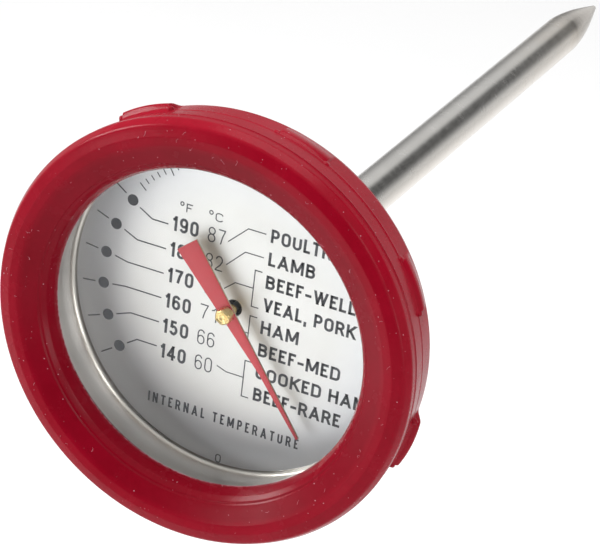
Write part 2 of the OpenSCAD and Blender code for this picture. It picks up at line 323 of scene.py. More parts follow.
def lens_material():
    n = Nodes("lens_glass")
    clear = n.tree.nodes.new("ShaderNodeBsdfTransparent")
    clear.inputs["Color"].default_value = rgb(0.985, 0.99, 0.988)
    gloss = n.tree.nodes.new("ShaderNodeBsdfGlossy")
    gloss.inputs["Color"].default_value = rgb(1.0, 1.0, 1.0)
    n.put(gloss.inputs["Roughness"], n.ramp(n.noise(12.0, 3.0), 0.3, 0.7, 0.02, 0.05))
    slope = n.tree.nodes.new("ShaderNodeLayerWeight")
    slope.inputs["Blend"].default_value = 0.5
    steep = n.math("POWER", slope.outputs["Facing"], 5.0)
    sheen = n.math("ADD", n.math("MULTIPLY", steep, 0.8), 0.013)
    smear = n.math("MULTIPLY", sheen, n.ramp(n.noise(5.0, 4.0), 0.3, 0.7, 0.75, 0.95))
    mixed = n.tree.nodes.new("ShaderNodeMixShader")
    n.put(mixed.inputs[0], smear)
    n.put(mixed.inputs[1], clear.outputs[0])
    n.put(mixed.inputs[2], gloss.outputs[0])
    n.tree.links.new(mixed.outputs[0], n.out.inputs[0])
    return n.material


def lint_material():
    n = Nodes("lint")
    cloud = n.noise(0.3, 3.0)
    color = n.mix(n.ramp(cloud, 0.3, 0.7), rgb(0.42, 0.12, 0.17), rgb(0.62, 0.34, 0.39))
    n.surface(color, 0.8, 0.0, n.bump(cloud, 0.002))
    return n.material


MATERIALS = {
    "red_silicone": silicone_material(),
    "case_steel": steel_material("case_steel", (0.66, 0.655, 0.64), 0.27, 0.4, 0.0012),
    "lens_glass": lens_material(),
    "gasket_rubber": plastic_material(
        "gasket_rubber", (0.016, 0.016, 0.017), (0.030, 0.030, 0.031), 0.6
    ),
    "polished_steel": ring_material(),
    "dial_aluminium": dial_material(),
    "pointer_paint": paint_material(),
    "hub_brass": brass_material(),
    "inner_steel": steel_material("inner_steel", (0.52, 0.52, 0.51), 0.35, 0.3, 0.001),
    "guide_plastic_dark": plastic_material(
        "guide_plastic_dark", (0.05, 0.053, 0.062), (0.075, 0.078, 0.088), 0.45
    ),
    "guide_plastic": plastic_material("guide_plastic", (0.62, 0.60, 0.55), (0.74, 0.73, 0.69), 0.4),
    "bimetal_strip": bimetal_material(),
    "stem_steel": steel_material("stem_steel", (0.69, 0.675, 0.645), 0.24, 0.5, 0.0006, stem_tint),
}
ink = ink_material()


# ---------------------------------------------------------------- mesh helpers
def finish_mesh(name, bm, material, sharp=32.0):
    """Turns a bmesh in mm into a smooth-shaded object whose edges over `sharp` degrees stay crisp."""
    bmesh.ops.scale(bm, vec=(MM, MM, MM), verts=bm.verts)
    bmesh.ops.recalc_face_normals(bm, faces=bm.faces)
    limit = math.radians(sharp)
    for face in bm.faces:
        face.smooth = True
    for edge in bm.edges:
        edge.smooth = len(edge.link_faces) == 2 and edge.calc_face_angle(0.0) < limit
    mesh = bpy.data.meshes.new(name)
    bm.to_mesh(mesh)
    bm.free()
    piece = bpy.data.objects.new(name, mesh)
    scene.collection.objects.link(piece)
    mesh.materials.append(material)
    return piece


def install(piece, body, nodes=()):
    """Puts a finished piece on its body, and hides the CAD nodes it stands for."""
    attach(piece, body)
    if nodes:
        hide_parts(*nodes)
    return piece


def rounded(corners):
    """A profile of (r, y, radius) corners as (r, y) points, with each corner rounded to its radius."""
    points = []
    count = len(corners)
    for i, (r, y, radius) in enumerate(corners):
        here = Vector((r, y))
        if radius <= 0:
            points.append((r, y))
            continue
        before = Vector(corners[i - 1][:2]) - here
        after = Vector(corners[(i + 1) % count][:2]) - here
        half = before.angle(after) / 2
        back = min(radius / math.tan(half), before.length * 0.49, after.length * 0.49)
        start = here + before.normalized() * back
        end = here + after.normalized() * back
        steps = max(3, int(2 + radius * 5), int((math.pi - 2 * half) / 0.22))
        for k in range(steps + 1):
            t = k / steps
            points.append(tuple(start * (1 - t) ** 2 + here * 2 * t * (1 - t) + end * t ** 2))
    return points


def even_angles(count):
    return [2 * math.pi * k / count for k in range(count)]


def lathe(name, profile, angles, material, push=None, sharp=32.0):
    """Turns a closed (r, y) profile about the Y axis. push(angle, r, y) gives a moved r and y.
    A profile point on the axis becomes one vertex."""
    bm = bmesh.new()
    rows = []
    for r, y in profile:
        if r < 1e-6:
            rows.append([bm.verts.new((0, y, 0))])
            continue
        row = []
        for angle in angles:
            rr, yy = push(angle, r, y) if push else (r, y)
            row.append(bm.verts.new((rr * math.cos(angle), yy, rr * math.sin(angle))))
        rows.append(row)
    turns = len(angles)
    for here, after in zip(rows, rows[1:] + rows[:1]):
        if len(here) == 1 and len(after) == 1:
            continue
        for k in range(turns):
            m = (k + 1) % turns
            if len(here) == 1:
                bm.faces.new((here[0], after[m], after[k]))
            elif len(after) == 1:
                bm.faces.new((here[k], here[m], after[0]))
            else:
                bm.faces.new((here[k], here[m], after[m], after[k]))
    return finish_mesh(name, bm, material, sharp)


# ---------------------------------------------------------------- silicone boot
PAD_COUNT = 8
PAD_START = math.radians(27)
PAD_HALF = math.radians(7.6)
PAD_FRONT_Y = boot_y + 6.6
PAD_BACK_Y = boot_y + 10.6
PAD_RISE = 1.2
PAD_ZONE_R = 26.0
SQUASH_AT = math.radians(60)
SQUASH = 0.78
BOOT_R = 29.6
BOOT_BACK_R = 28.3
SKIRT_R = 25.5
SKIRT_ROUND = 4.5
SKIRT_WALL = 1.23
BACK_HOLE_R = 20.0
POCKET_R = 25.7
LENS_LIP_R = 23.4
GROOVE_Y = boot_y + 3.3
boot_end_y = boot_high.y
seat_y = dial_high.y
side_back_y = seat_y - 1.5


def side_r(y):
    """Radius of the boot's side at a station, before its pads."""
    return BOOT_R - (BOOT_R - BOOT_BACK_R) * (y - boot_y - 2) / (side_back_y - boot_y - 2)


def smooth(t):
    """An eased step from 0 to 1."""
    t = min(1.0, max(0.0, t))
    return t * t * (3 - 2 * t)


def pad_push(angle, r, y):
    """Raises the grip pads: a short slope in front, a long one behind, a small bead at each front corner.
    The stretched boot lies flatter on the side that SQUASH_AT points to."""
    if r < PAD_ZONE_R or not PAD_FRONT_Y - 1.2 < y < PAD_BACK_Y + 0.4:
        return r, y
    pitch = 2 * math.pi / PAD_COUNT
    off = (angle - PAD_START + pitch / 2) % pitch - pitch / 2
    u = off / PAD_HALF
    if abs(u) > 1.2:
        return r, y
    depth = (y - PAD_FRONT_Y) / (PAD_BACK_Y - PAD_FRONT_Y)
    ends = smooth((1 - abs(u)) / 0.12)
    lift = smooth((depth + 0.14) / 0.32) * (1 - smooth((depth - 0.12) / 0.88))
    rise = PAD_RISE * (1 - SQUASH * max(0.0, math.cos(angle - SQUASH_AT)) ** 2)
    crest = side_r(PAD_FRONT_Y) + rise - 0.15 * u * u
    plate = max(0.0, crest - r) * lift * ends
    bead = 0.0
    for end in (-1, 1):
        near = math.hypot((u - end * 0.96) * PAD_HALF * BOOT_R, (y - PAD_FRONT_Y - 0.35) * 0.9)
        bead = max(bead, 0.7 * rise * math.sqrt(max(0.0, 1 - (near / 0.5) ** 2)))
    return r + max(plate, bead), y


def arc_corners(r, y, radius, start, end, steps=8):
    """Corners along an arc, angles in degrees from the radial direction towards +Y."""
    made = []
    for k in range(steps + 1):
        a = math.radians(start + (end - start) * k / steps)
        made.append((r + radius * math.cos(a), y + radius * math.sin(a), 0.0))
    return made


def boot_profile():
    """The boot's section, from the lens out over the front corner and round to the back lip."""
    corners = [
        (22.2, lens_y - 0.05, 0.0),
        (22.28, lens_y - 0.8, 0.3),
        (22.75, boot_y + 1.95, 0.7),
        (23.3, boot_y + 1.3, 0.2),
        (23.55, boot_y + 1.24, 0.12),
        (23.72, boot_y + 1.0, 0.12),
        (26.3, boot_y + 0.12, 1.2),
        (27.5, boot_y, 0.8),
        (BOOT_R - 0.6, boot_y + 0.42, 0.85),
        (BOOT_R, boot_y + 1.7, 0.9),
    ]
    for middle, ridge, deep in ((GROOVE_Y, 0.06, 0.2), (PAD_FRONT_Y, 0.02, 0.05)):
        corners += [
            (side_r(middle - 0.4), middle - 0.4, 0.1),
            (side_r(middle - 0.2) + ridge, middle - 0.2, 0.08),
            (side_r(middle) - deep, middle, 0.05),
            (side_r(middle + 0.2) + ridge, middle + 0.2, 0.08),
            (side_r(middle + 0.4), middle + 0.4, 0.1),
        ]
    corners += [
        (side_r(side_back_y), side_back_y, 0.5),
        (BOOT_BACK_R - 0.5, side_back_y + 1.0, 0.4),
        (BOOT_BACK_R - 1.5, side_back_y + 1.7, 0.4),
        (SKIRT_R + 0.25, seat_y + 0.8, 0.3),
        (SKIRT_R, seat_y + 1.1, 0.2),
    ]
    corners += arc_corners(SKIRT_R - SKIRT_ROUND, boot_end_y - SKIRT_ROUND, SKIRT_ROUND, 0, 90)
    corners += [
        (BACK_HOLE_R, boot_end_y, 0.3),
        (BACK_HOLE_R, boot_end_y - 0.1 - SKIRT_WALL, 0.0),
    ]
    inner_round = SKIRT_ROUND - SKIRT_WALL
    corners += arc_corners(SKIRT_R - SKIRT_ROUND, boot_end_y - SKIRT_ROUND - 0.1, inner_round, 90, 0)
    corners += [
        (SKIRT_R - SKIRT_WALL, seat_y + 0.57, 0.0),
        (POCKET_R, seat_y + 0.57, 0.0),
        (POCKET_R, rim_high.y + 0.1, 0.0),
        (rim_high.x + 0.1, rim_high.y + 0.1, 0.0),
        (rim_high.x + 0.1, rim_low.y - 0.1, 0.0),
        (LENS_LIP_R, rim_low.y - 0.1, 0.0),
        (LENS_LIP_R, lens_y - 0.05, 0.0),
    ]
    return rounded(corners)


def boot_angles():
    """Even steps round the boot, with close ones at both ends of each pad."""
    angles = set(round(a, 6) for a in even_angles(480))
    pitch = 2 * math.pi / PAD_COUNT
    for k in range(PAD_COUNT):
        for end in (-1, 1):
            middle = PAD_START + k * pitch + end * PAD_HALF
            for step in range(-14, 15):
                angles.add(round((middle + math.radians(step * 0.11)) % (2 * math.pi), 6))
    return sorted(angles)


FINE_ROW = 0.14
COARSE_ROW = 0.8


def boot_rows():
    """The section with close rows on the side, where the pads rise."""
    made = []
    profile = boot_profile()
    for (r0, y0), (r1, y1) in zip(profile, profile[1:] + profile[:1]):
        on_side = min(r0, r1) > PAD_ZONE_R and min(y0, y1) > GROOVE_Y + 0.3 and max(y0, y1) < boot_y + 12
        longest = FINE_ROW if on_side else COARSE_ROW
        steps = max(1, math.ceil(math.hypot(r1 - r0, y1 - y0) / longest))
        for k in range(steps):
            t = k / steps
            made.append((r0 + (r1 - r0) * t, y0 + (y1 - y0) * t))
    return made


boot = lathe("boot", boot_rows(), boot_angles(), MATERIALS["red_silicone"], pad_push, 50.0)
install(boot, "housing", ["silicone_boot"])

# ---------------------------------------------------------------- lint on the boot's front
FRONT_FACE = sorted((r, y) for r, y in boot_profile() if 23.8 < r and y < boot_y + 1.1)


def front_y(r):
    """Station of the boot's front face at a radius."""
    for (r0, y0), (r1, y1) in zip(FRONT_FACE, FRONT_FACE[1:]):
        if r0 <= r <= r1 and r1 > r0:
            return y0 + (y1 - y0) * (r - r0) / (r1 - r0)
    return boot_y


def lay_fibre(bm, r, angle, heading, length, turn, thick):
    """A curled fibre lying on the face, as a closed tube of five sides."""
    steps = 9
    x, z = r * math.cos(angle), r * math.sin(angle)
    rings = []
    for k in range(steps + 1):
        lift = thick * (0.9 + 1.2 * math.sin(math.pi * k / steps))
        middle = Vector((x, front_y(math.hypot(x, z)) - lift, z))
        side = Vector((-math.sin(heading), 0, math.cos(heading)))
        half = thick * (1.0 if 0 < k < steps else 0.4)
        ring_points = []
        for a in even_angles(5):
            out = side * math.cos(a) + Vector((0, 1, 0)) * math.sin(a)
            ring_points.append(bm.verts.new(middle + out * half))
        rings.append(ring_points)
        x += math.cos(heading) * length / steps
        z += math.sin(heading) * length / steps
        heading += turn / steps + random.uniform(-0.25, 0.25)
    for here, after in zip(rings, rings[1:]):
        for m in range(5):
            bm.faces.new((here[m], here[(m + 1) % 5], after[(m + 1) % 5], after[m]))
    bm.faces.new(rings[0][::-1])
    bm.faces.new(rings[-1])


lint = bmesh.new()
for k in range(34):
    lay_fibre(
        lint,
        random.uniform(24.4, 28.0),
        random.uniform(0, 2 * math.pi),
        random.uniform(0, 2 * math.pi),
        random.uniform(0.25, 0.85),
        random.uniform(-3.4, 3.4),
        random.uniform(0.010, 0.018),
    )
install(finish_mesh("boot_lint", lint, lint_material(), 80.0), "housing")

# ---------------------------------------------------------------- lens, wall ring
lens_r = lens_high.x
lens = lathe(
    "lens_disc",
    rounded([(0, lens_y, 0), (lens_r, lens_y, 0.25), (lens_r, lens_back_y, 0.25), (0, lens_back_y, 0)]),
    even_angles(180),
    MATERIALS["lens_glass"],
)
install(lens, "housing", ["lens"])

RING_OUT_R = ring_high.x
RING_IN_R = RING_OUT_R - 0.35
FILLET_W = 1.1
FILLET_H = 2.4
FILLET_STEPS = 14


def ring_profile():
    """A thin wall that curves in over the dial's edge in a quarter of an ellipse."""
    corners = [
        (RING_OUT_R - 1.2, dial_y, 0.0),
        (RING_OUT_R, dial_y, 0.0),
        (RING_OUT_R, ring_low.y, 0.12),
        (RING_IN_R, ring_low.y, 0.12),
        (RING_IN_R, dial_y - FILLET_H, 0.0),
    ]
    for k in range(1, FILLET_STEPS + 1):
        a = k / FILLET_STEPS * math.pi / 2
        r = RING_IN_R - FILLET_W * (1 - math.cos(a))
        corners.append((r, dial_y - FILLET_H + (FILLET_H - 0.02) * math.sin(a), 0.0))
    corners.append((RING_IN_R - FILLET_W - 0.05, dial_y, 0.0))
    return rounded(corners)


ring = lathe("wall_ring", ring_profile(), even_angles(240), MATERIALS["polished_steel"])
install(ring, "housing", ["spacer_ring"])

# ---------------------------------------------------------------- stem, point and collar
stem = lathe(
    "probe_stem",
    rounded(
        [
            (2.5, tube_low.y, 0.0),
            (3.6, tube_low.y, 0.1),
            (3.6, tube_low.y + 0.4, 0.1),
            (2.95, tube_low.y + 0.4, 0.05),
            (2.95, 0.0, 0.0),
            (stem_r, 0.0, 0.12),
            (stem_r, stem_end_y, 0.03),
            (stem_r - 0.45, stem_end_y, 0.0),
            (stem_r - 0.45, 0.6, 0.0),
            (2.5, 0.6, 0.0),
        ]
    ),
    even_angles(96),
    MATERIALS["stem_steel"],
)
install(stem, "housing", ["stem_tube"])


def point_profile():
    """The ground point: a bulging taper with a soft shoulder and a small rounded end."""
    spigot_r = stem_r - 0.55
    start_y = stem_end_y + 0.01
    points = [(0.0, tip_low.y), (spigot_r, tip_low.y), (spigot_r, start_y), (stem_r, start_y)]
    end_r = 0.45
    straight = point_y - stem_end_y - end_r
    for k in range(1, 25):
        t = k / 24
        r = stem_r - (stem_r - end_r) * (t - 0.15 * math.sin(math.pi * t ** 0.8))
        points.append((min(stem_r, r), start_y + t * straight))
    for k in range(1, 7):
        a = k / 6 * math.pi / 2
        points.append((end_r * math.cos(a) if k < 6 else 0.0, point_y - end_r + end_r * math.sin(a)))
    return points


tip = lathe("probe_point", point_profile(), even_angles(96), MATERIALS["stem_steel"])
install(tip, "housing", ["stem_tip"])

collar = lathe(
    "stem_collar_ring",
    rounded(
        [
            (3.0, collar_low.y, 0.0),
            (collar_r, collar_low.y, 0.15),
            (collar_r, collar_high.y - 1.0, 0.3),
            (collar_r - 1.0, collar_high.y, 0.3),
            (3.0, collar_high.y, 0.1),
        ]
    ),
    even_angles(120),
    MATERIALS["case_steel"],
)
install(collar, "housing", ["stem_collar"])

# ---------------------------------------------------------------- pointer and hub
POINTER_ANGLE = math.radians(310)
TAIL_LEN = 10.5
TIP_LEN = 19.1
TAIL_W = 3.4
WAIST_AT = 8.9
WAIST_W = 0.95
TIP_W = 0.43
TIP_BEND = 0.45
pointer_t = pointer_high.y - pointer_low.y


def flat_piece(name, outline, y_front, thickness, material, bevel=0.0):
    """A thin plate from an outline of (x, z) points, its front face at y_front."""
    bm = bmesh.new()
    front = [bm.verts.new((x, y_front, z)) for x, z in outline]
    face = bm.faces.new(front)
    pushed = bmesh.ops.extrude_face_region(bm, geom=[face])
    moved = [v for v in pushed["geom"] if isinstance(v, bmesh.types.BMVert)]
    bmesh.ops.translate(bm, vec=(0, thickness, 0), verts=moved)
    if bevel:
        rims = [e for e in bm.edges if abs(e.verts[0].co.y - e.verts[1].co.y) < 1e-6]
        bmesh.ops.bevel(bm, geom=rims, offset=bevel, segments=2, profile=0.5, affect="EDGES")
    return finish_mesh(name, bm, material)


def turned_outline(points, angle):
    """(x, z) points turned by an angle about the stem's axis."""
    c, s = math.cos(angle), math.sin(angle)
    return [(x * c - z * s, x * s + z * c) for x, z in points]


pointer = flat_piece(
    "pointer_blade",
    turned_outline(
        [
            (-TAIL_LEN, -TAIL_W / 2),
            (WAIST_AT, -WAIST_W / 2),
            (TIP_LEN, -TIP_BEND - TIP_W / 2),
            (TIP_LEN, -TIP_BEND + TIP_W / 2),
            (WAIST_AT, WAIST_W / 2),
            (-TAIL_LEN, TAIL_W / 2),
        ],
        POINTER_ANGLE,
    ),
    pointer_y,
    pointer_t,
    MATERIALS["pointer_paint"],
    0.05,
)
install(pointer, "needle", ["pointer"])

CAP_R = 1.15
cap_top = hub_low.y


def hub_push(angle, r, y):
    """The cap's rolled edge is a soft hexagon."""
    if r > 0.7 and y < pointer_y:
        return r * (1 - 0.07 * (1 + math.cos(6 * angle)) / 2), y
    return r, y


hub = lathe(
    "hub_cap",
    rounded(
        [
            (0.0, cap_top + 0.26, 0.0),
            (0.3, cap_top + 0.24, 0.1),
            (0.46, cap_top + 0.1, 0.1),
            (0.62, cap_top + 0.14, 0.1),
            (0.84, cap_top, 0.12),
            (CAP_R - 0.06, cap_top + 0.16, 0.15),
            (CAP_R, cap_top + 0.7, 0.25),
            (CAP_R - 0.05, pointer_y - 0.05, 0.08),
            (0.72, pointer_y - 0.05, 0.0),
            (0.72, pointer_high.y + 0.05, 0.0),
            (0.72, hub_high.y, 0.05),
            (0.51, hub_high.y, 0.0),
            (0.51, cap_top + 0.34, 0.0),
            (0.0, cap_top + 0.34, 0.0),
        ]
    ),
    even_angles(72),
    MATERIALS["hub_brass"],
    hub_push,
)
install(hub, "needle", ["pointer_hub"])

# ---------------------------------------------------------------- dial print
INK_T = 0.02
ink_y = dial_y - INK_T
ink_back_y = dial_y - 0.002


class Ink:
    """Flat printed shapes gathered in one mesh, each a thin plate on the dial."""

    def __init__(self):
        self.bm = bmesh.new()

    def plate(self, outline):
        front = [self.bm.verts.new((x, ink_y, z)) for x, z in outline]
        back = [self.bm.verts.new((x, ink_back_y, z)) for x, z in outline]
        self.bm.faces.new(front)
        self.bm.faces.new(list(reversed(back)))
        count = len(outline)
        for k in range(count):
            m = (k + 1) % count
            self.bm.faces.new((front[m], front[k], back[k], back[m]))

    def dot(self, x, z, radius):
        self.plate([(x + radius * math.cos(a), z + radius * math.sin(a)) for a in even_angles(40)])

    def stroke(self, points, width):
        """A line of even width through the points, with mitred corners."""
        path = [Vector(p) for p in points]
        left = []
        right = []
        for k, here in enumerate(path):
            ahead = path[min(k + 1, len(path) - 1)] - here
            behind = here - path[max(k - 1, 0)]
            ahead = (ahead if ahead.length > 1e-9 else behind).normalized()
            behind = (behind if behind.length > 1e-9 else ahead).normalized()
            tangent = (ahead + behind).normalized()
            normal = Vector((-tangent.y, tangent.x))
            reach = width / 2 / max(0.5, normal.dot(Vector((-ahead.y, ahead.x))))
            left.append(here + normal * reach)
            right.append(here - normal * reach)
        rims = []
        for l, r in zip(left, right):
            section = ((l, ink_y), (r, ink_y), (r, ink_back_y), (l, ink_back_y))
            rims.append([self.bm.verts.new((p.x, y, p.y)) for p, y in section])
        for here, after in zip(rims, rims[1:]):
            for k in range(4):
                m = (k + 1) % 4
                self.bm.faces.new((here[k], here[m], after[m], after[k]))
        self.bm.faces.new(rims[0][::-1])
        self.bm.faces.new(rims[-1])

    def straight(self, path, width, x_ends, z_ends):
        """An upright or level stroke, carried on to the cell's edge where it reaches one."""
        (x0, z0), (x1, z1) = path
        reach = width / 2
        if abs(x0 - x1) < 1e-6:
            z0 -= reach if z_ends[0] else 0
            z1 += reach if z_ends[1] else 0
            self.plate([(x0 - reach, z0), (x0 + reach, z0), (x0 + reach, z1), (x0 - reach, z1)])
        else:
            x0 -= reach if x_ends[0] else 0
            x1 += reach if x_ends[1] else 0
            self.plate([(x0, z0 - reach), (x1, z0 - reach), (x1, z0 + reach), (x0, z0 + reach)])

    def slant(self, path, width, low_z, high_z):
        """A sloping stroke cut level, and carried on to the cap line or base line where it is near one."""
        (x0, z0), (x1, z1) = sorted(path, key=lambda p: p[1])
        run = (x1 - x0) / (z1 - z0)
        half = width / 2 * math.hypot(1, run)
        if abs(z0 - low_z) < width * 0.6:
            x0 -= run * (z0 - low_z)
            z0 = low_z
        if high_z - z1 < width * 0.6:
            x1 += run * (high_z - z1)
            z1 = high_z
        self.plate([(x0 - half, z0), (x0 + half, z0), (x1 + half, z1), (x1 - half, z1)])

    def made(self, name):
        return install(finish_mesh(name, self.bm, ink, 20.0), "housing")


DOT_R = 19.43
DOT_STEP = math.radians(13.63)
DOT_START = math.radians(213.83)
ROW_PITCH = 3.785
marks = Ink()
rows = 6
LINE_W = 0.18
for k in range(rows):
    angle = DOT_START - DOT_STEP * k
    c, s = math.cos(angle), math.sin(angle)
    marks.dot(DOT_R * c, DOT_R * s, 0.8)
    marks.stroke([(20.7 * c, 20.7 * s), (22.6 * c, 22.6 * s)], LINE_W)
    row_z = (k - (rows - 1) / 2) * ROW_PITCH
    kink_r = 16.15 if k in (2, 3) else 15.85
    kink_z = row_z * 0.96
    kink_x = -math.sqrt(max(1.0, kink_r ** 2 - kink_z ** 2)) if k else -13.6
    marks.stroke([(18.1 * c, 18.1 * s), (kink_x, kink_z), (-10.6, kink_z)], LINE_W)
marks.made("dial_marks")


def bend(cx, cy, rx, ry, start, end, steps=8):
    """Points of an ellipse's arc, angles in degrees, in a glyph's unit cell."""
    turn = [math.radians(start + (end - start) * k / steps) for k in range(steps + 1)]
    return [(cx + rx * math.cos(a), cy + ry * math.sin(a)) for a in turn]


def oval(x0, x1, y0, y1, k):
    """A round-ended upright ring as its left and right halves; k is the height of each end."""
    mx = (x0 + x1) / 2
    rx = (x1 - x0) / 2
    right = bend(mx, y0 + k, rx, k, -90, 0) + bend(mx, y1 - k, rx, k, 0, 90)
    left = bend(mx, y1 - k, rx, k, 90, 180) + bend(mx, y0 + k, rx, k, 180, 270)
    return [right, left]


def bowl(x0, x1, y0, y1):
    """A stem-side bowl as in B, D, P and R: along the top, round the right and back."""
    k = (y1 - y0) / 2 if y1 - y0 < 0.7 else 0.28
    flat = x1 - min(0.45, x1 - x0)
    upper = bend(flat, y1 - k, x1 - flat, k, 90, 0)
    lower = bend(flat, y0 + k, x1 - flat, k, 0, -90)
    return [[(x0, y1)] + upper + lower + [(x0, y0)]]


STEM = [(0, 0), (0, 1)]
RIGHT = [(1, 0), (1, 1)]
TOP = [(0, 1), (1, 1)]
FOOT = [(0, 0), (1, 0)]
# each glyph: its width as a share of the cap height, and its strokes in a unit cell
GLYPHS = {
    "0": (0.60, oval(0, 1, 0, 1, 0.27)),
    "1": (0.42, [[(0.95, 0), (0.95, 1)], [(0.0, 0.77), (0.45, 0.82), (0.85, 1.0)]]),
    "2": (0.58, [bend(0.5, 0.72, 0.5, 0.28, 170, -15) + [(0.70, 0.40), (0.12, 0.12), (0.02, 0.0)], FOOT]),
    "4": (0.62, [[(0.74, 0), (0.74, 1)], [(0.70, 0.98), (0.0, 0.26)], [(0, 0.24), (1, 0.24)]]),
    "5": (0.58, [[(0.14, 1), (0.95, 1)], [(0.14, 1), (0.08, 0.5)],
                 [(0.06, 0.50)] + bend(0.48, 0.32, 0.52, 0.31, 130, -90)
                 + bend(0.48, 0.22, 0.48, 0.22, -90, -175)]),
    "6": (0.60, oval(0, 1, 0, 0.60, 0.27) + [[(0, 0.30), (0, 0.72)] + bend(0.5, 0.73, 0.5, 0.27, 180, 20)]),
    "7": (0.56, [TOP, [(1, 0.98), (0.62, 0.5), (0.40, 0.0)]]),
    "8": (0.60, oval(0.05, 0.95, 0.53, 1, 0.23) + oval(0, 1, 0, 0.53, 0.26)),
    "9": (0.60, oval(0, 1, 0.40, 1, 0.27) + [[(1, 0.70), (1, 0.28)] + bend(0.5, 0.27, 0.5, 0.27, 0, -160)]),
    "A": (0.74, [[(0.02, 0), (0.5, 1)], [(0.98, 0), (0.5, 1)], [(0.2, 0.26), (0.8, 0.26)]]),
    "B": (0.62, [STEM] + bowl(0, 0.94, 0.54, 1) + bowl(0, 1, 0, 0.54)),
    "C": (0.60, [bend(0.5, 0.73, 0.5, 0.27, 12, 180) + bend(0.5, 0.27, 0.5, 0.27, 180, 348)]),
    "D": (0.66, [STEM] + bowl(0, 1, 0, 1)),
    "E": (0.50, [STEM, TOP, FOOT, [(0, 0.53), (0.9, 0.53)]]),
    "F": (0.49, [STEM, TOP, [(0, 0.52), (0.88, 0.52)]]),
    "H": (0.66, [STEM, RIGHT, [(0, 0.53), (1, 0.53)]]),
    "I": (0.14, [[(0.5, 0), (0.5, 1)]]),
    "K": (0.66, [STEM, [(0.96, 1), (0.08, 0.40)], [(1.0, 0), (0.36, 0.58)]]),
    "L": (0.48, [STEM, FOOT]),
    "M": (0.86, [STEM, RIGHT, [(0.06, 1), (0.5, 0.06)], [(0.94, 1), (0.5, 0.06)]]),
    "N": (0.66, [STEM, RIGHT, [(0.06, 1), (0.94, 0)]]),
    "O": (0.66, oval(0, 1, 0, 1, 0.27)),
    "P": (0.60, [STEM] + bowl(0, 1, 0.44, 1)),
    "R": (0.64, [STEM] + bowl(0, 0.96, 0.46, 1) + [[(1.0, 0), (0.62, 0.46)]]),
    "T": (0.56, [TOP, [(0.5, 0), (0.5, 1)]]),
    "U": (0.64, [[(0, 1)] + bend(0.5, 0.27, 0.5, 0.27, 180, 360, 12) + [(1, 1)]]),
    "V": (0.66, [[(0.02, 1), (0.5, 0)], [(0.98, 1), (0.5, 0)]]),
    "W": (0.96, [[(0.0, 1), (0.25, 0)], [(0.5, 1), (0.25, 0)],
                 [(0.5, 1), (0.75, 0)], [(1.0, 1), (0.75, 0)]]),
    "Y": (0.66, [[(0.02, 1), (0.5, 0.40)], [(0.98, 1), (0.5, 0.40)], [(0.5, 0), (0.5, 0.45)]]),
    "-": (0.42, [[(0, 0.40), (1, 0.40)]]),
    ",": (0.20, [[(0.7, 0.10), (0.2, -0.36)]]),
    "*": (0.34, oval(0, 1, 0.64, 1.1, 0.23)),
    " ": (0.22, []),
}


def set_text(marks, text, left, middle_z, height, width, weight, gap=0.15):
    """Prints text in strokes of `weight` mm, fitted to a width, from its left edge, centred on middle_z."""
    natural = sum(GLYPHS[c][0] for c in text) + gap * (len(text) - 1)
    stretch = width / natural
    reach = weight / 2
    base_z = middle_z - height / 2
    x = left
    for c in text:
        share, strokes = GLYPHS[c]
        wide = share * stretch - weight
        for stroke in strokes:
            path = [(x + reach + u * wide, base_z + reach + v * (height - weight)) for u, v in stroke]
            if len(path) > 2:
                marks.stroke(path, weight)
                continue
            (x0, z0), (x1, z1) = path
            if abs(x0 - x1) < 1e-6 or abs(z0 - z1) < 1e-6:
                x_ends = [u in (0, 1) for u, v in stroke]
                z_ends = [v in (0, 1) for u, v in stroke]
                marks.straight(path, weight, x_ends, z_ends)
            else:
                marks.slant(path, weight, base_z, base_z + height)
        x += (share + gap) * stretch


FAHRENHEIT = ("140", "150", "160", "170", "180", "190")
CELSIUS = ("60", "66", "71", "77", "82", "87")
numbers = Ink()
# each text: its left edge, the middle of its height, its height, width, stroke weight and gap
for k in range(rows):
    row_z = (k - (rows - 1) / 2) * ROW_PITCH
    set_text(numbers, FAHRENHEIT[k], -10.14, row_z, 2.14, 3.96, 0.38, 0.17)
    set_text(numbers, CELSIUS[k], -4.79, row_z, 2.2, 2.54, 0.17, 0.20)
set_text(numbers, "*F", -9.18, 12.15, 1.25, 1.85, 0.16, 0.18)
set_text(numbers, "*C", -4.93, 12.15, 1.25, 2.1, 0.15, 0.18)
set_text(numbers, "0", -0.32, -22.86, 1.3, 0.84, 0.16)
numbers.made("dial_numbers")

WORDS = ("BEEF-RARE", "COOKED HAM", "BEEF-MED", "HAM", "VEAL, PORK", "BEEF-WELL", "LAMB", "POULTRY")
WIDTHS = (12.7, 16.1, 11.9, 5.5, 13.3, 12.9, 6.7, 10.2)
WORD_LEFT = 4.15
LOWEST_WORD_Z = -11.5
WORD_PITCH = 3.33
WORD_H = 1.92
WORD_WEIGHT = 0.37
words = Ink()
for k, (word, width) in enumerate(zip(WORDS, WIDTHS)):
    set_text(words, word, WORD_LEFT, LOWEST_WORD_Z + WORD_PITCH * k, WORD_H, width, WORD_WEIGHT)
set_text(words, "INTERNAL TEMPERATURE", -11.1, -16.85, 1.5, 22.5, 0.25, 0.42)
words.made("dial_words")

